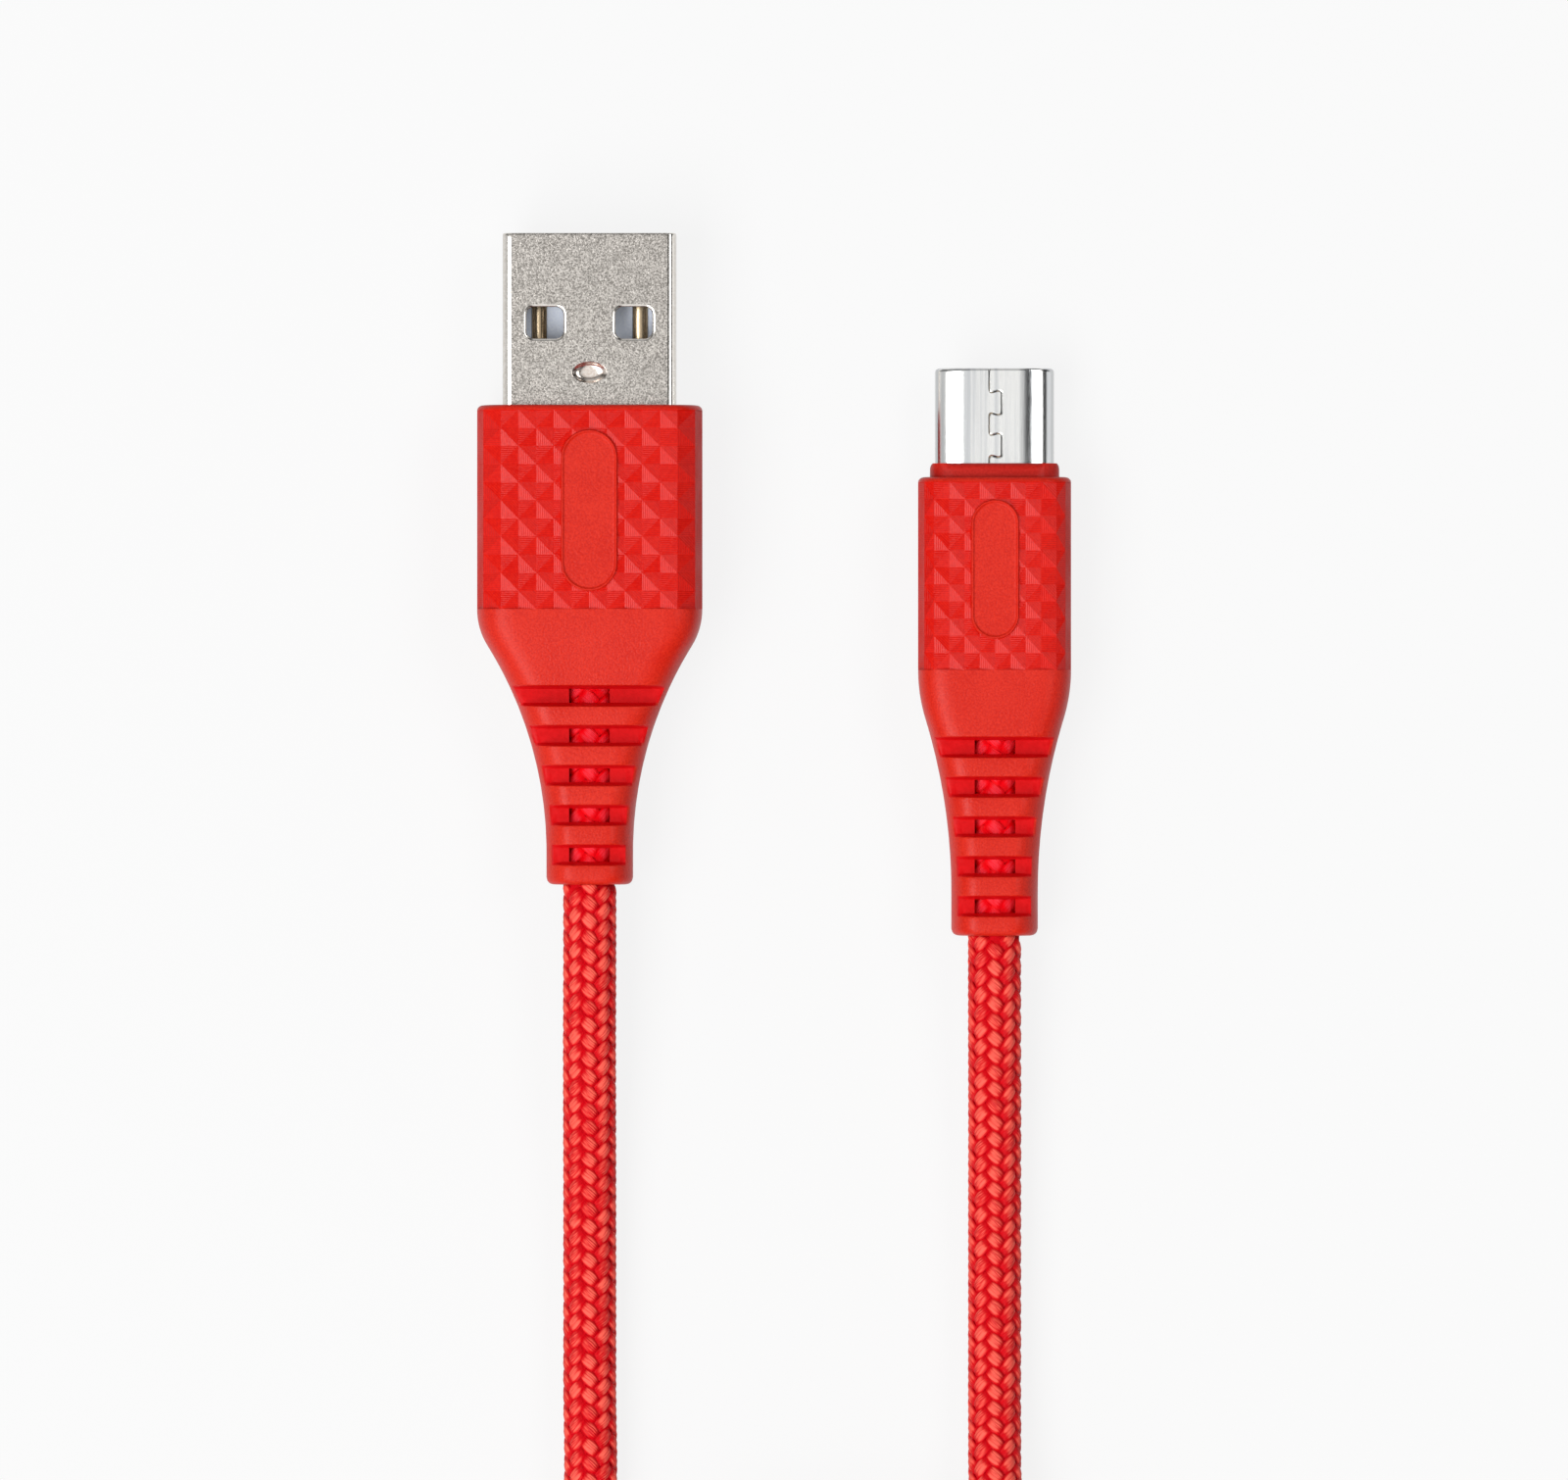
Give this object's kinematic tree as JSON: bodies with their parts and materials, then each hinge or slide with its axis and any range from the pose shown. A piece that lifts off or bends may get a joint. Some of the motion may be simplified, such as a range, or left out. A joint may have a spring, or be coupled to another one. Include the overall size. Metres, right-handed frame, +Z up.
{
  "type": "charging cable",
  "caption": "Red braided charging cable with a USB-A plug and a USB-C plug, textured grips, slotted bending boots and its spare length in a tied coil.",
  "frame": {"origin": "on the table, at the bottom centre of the box round the two plugs, without the cord, its coil and its tie", "axes": "+Y along both plugs to their tips, +X from the USB-A plug to the USB-C plug, +Z up from the table"},
  "size_m": [0.0549, 0.1448, 0.01],
  "materials": {
    "nickel_steel": "satin, bead-blasted nickel",
    "stainless_steel": "brushed and polished",
    "pale_insulator": "matte",
    "dark_insulator": "matte",
    "gold_contact": "thin gold plating",
    "board_green": "satin",
    "resistor_black": "matte",
    "inner_mould_pale": "matte",
    "collar_red": "satin",
    "red_elastomer": "satin thermoplastic elastomer",
    "red_braid": "woven, slight sheen",
    "jacket_black": "matte",
    "bare_copper": "bare copper",
    "tie_strap": "woven strap",
    "wire_red": "matte",
    "wire_white": "matte",
    "wire_green": "matte",
    "wire_black": "matte"
  },
  "bodies": {
    "cable": {"cable_usb_a_run": "red_braid", "cable_coil": "red_braid", "cable_usb_c_run": "red_braid", "coil_tie": "tie_strap"},
    "usb_a_plug": {"usb_a_shell": "nickel_steel", "usb_a_carrier": "pale_insulator", "usb_a_contact_supply": "gold_contact", "usb_a_contact_data_minus": "gold_contact", "usb_a_contact_data_plus": "gold_contact", "usb_a_contact_ground": "gold_contact", "usb_a_inner_mould": "inner_mould_pale", "usb_a_grip": "red_elastomer", "usb_a_boot": "red_elastomer", "usb_a_braid_end": "red_braid", "usb_a_jacket_end": "jacket_black", "usb_a_wire_red": "wire_red", "usb_a_wire_white": "wire_white", "usb_a_wire_green": "wire_green", "usb_a_wire_black": "wire_black", "usb_a_wire_tips": "bare_copper"},
    "usb_c_plug": {"usb_c_shell": "stainless_steel", "usb_c_nose": "dark_insulator", "usb_c_board": "board_green", "usb_c_resistor": "resistor_black", "usb_c_inner_mould": "collar_red", "usb_c_grip": "red_elastomer", "usb_c_boot": "red_elastomer", "usb_c_braid_end": "red_braid", "usb_c_jacket_end": "jacket_black", "usb_c_wire_red": "wire_red", "usb_c_wire_white": "wire_white", "usb_c_wire_green": "wire_green", "usb_c_wire_black": "wire_black", "usb_c_wire_tips": "bare_copper"},
    "usb_c_upper_row": {"usb_c_contacts_upper": "gold_contact"},
    "usb_c_lower_row": {"usb_c_contacts_lower": "gold_contact"},
    "usb_c_left_latch": {"usb_c_latch_left": "stainless_steel"},
    "usb_c_right_latch": {"usb_c_latch_right": "stainless_steel"}
  },
  "joints": [
    {"name": "usb_a_boot_bend", "type": "hinge", "parent": "cable", "child": "usb_a_plug", "pos_m": [-0.01277, -0.01358, 0.004], "axis": [0, 0, 1], "range_deg": [-15, 30], "stiffness_Nm_per_rad": 0.02, "deforming": ["usb_a_boot", "usb_a_braid_end", "usb_a_jacket_end", "usb_a_wire_red", "usb_a_wire_white", "usb_a_wire_green", "usb_a_wire_black"]},
    {"name": "usb_c_boot_bend", "type": "hinge", "parent": "cable", "child": "usb_c_plug", "pos_m": [0.01528, -0.01713, 0.0032], "axis": [0, 0, 1], "range_deg": [-30, 15], "stiffness_Nm_per_rad": 0.02, "deforming": ["usb_c_boot", "usb_c_braid_end", "usb_c_jacket_end", "usb_c_wire_red", "usb_c_wire_white", "usb_c_wire_green", "usb_c_wire_black"]},
    {"name": "usb_c_contacts_upper_flex", "type": "hinge", "parent": "usb_c_plug", "child": "usb_c_upper_row", "pos_m": [0.01528, 0.00285, 0.0036], "axis": [1, 0, 0], "range_deg": [0, 0.8], "stiffness_Nm_per_rad": 1.5},
    {"name": "usb_c_contacts_lower_flex", "type": "hinge", "parent": "usb_c_plug", "child": "usb_c_lower_row", "pos_m": [0.01528, 0.00285, 0.0028], "axis": [1, 0, 0], "range_deg": [-0.8, 0], "stiffness_Nm_per_rad": 1},
    {"name": "usb_c_latch_left_flex", "type": "hinge", "parent": "usb_c_plug", "child": "usb_c_left_latch", "pos_m": [0.01172, 0.00375, 0.0032], "axis": [0, 0, 1], "range_deg": [0, 0.7], "stiffness_Nm_per_rad": 1.5},
    {"name": "usb_c_latch_right_flex", "type": "hinge", "parent": "usb_c_plug", "child": "usb_c_right_latch", "pos_m": [0.01883, 0.00375, 0.0032], "axis": [0, 0, 1], "range_deg": [-0.7, 0], "stiffness_Nm_per_rad": 1.5}
  ]
}
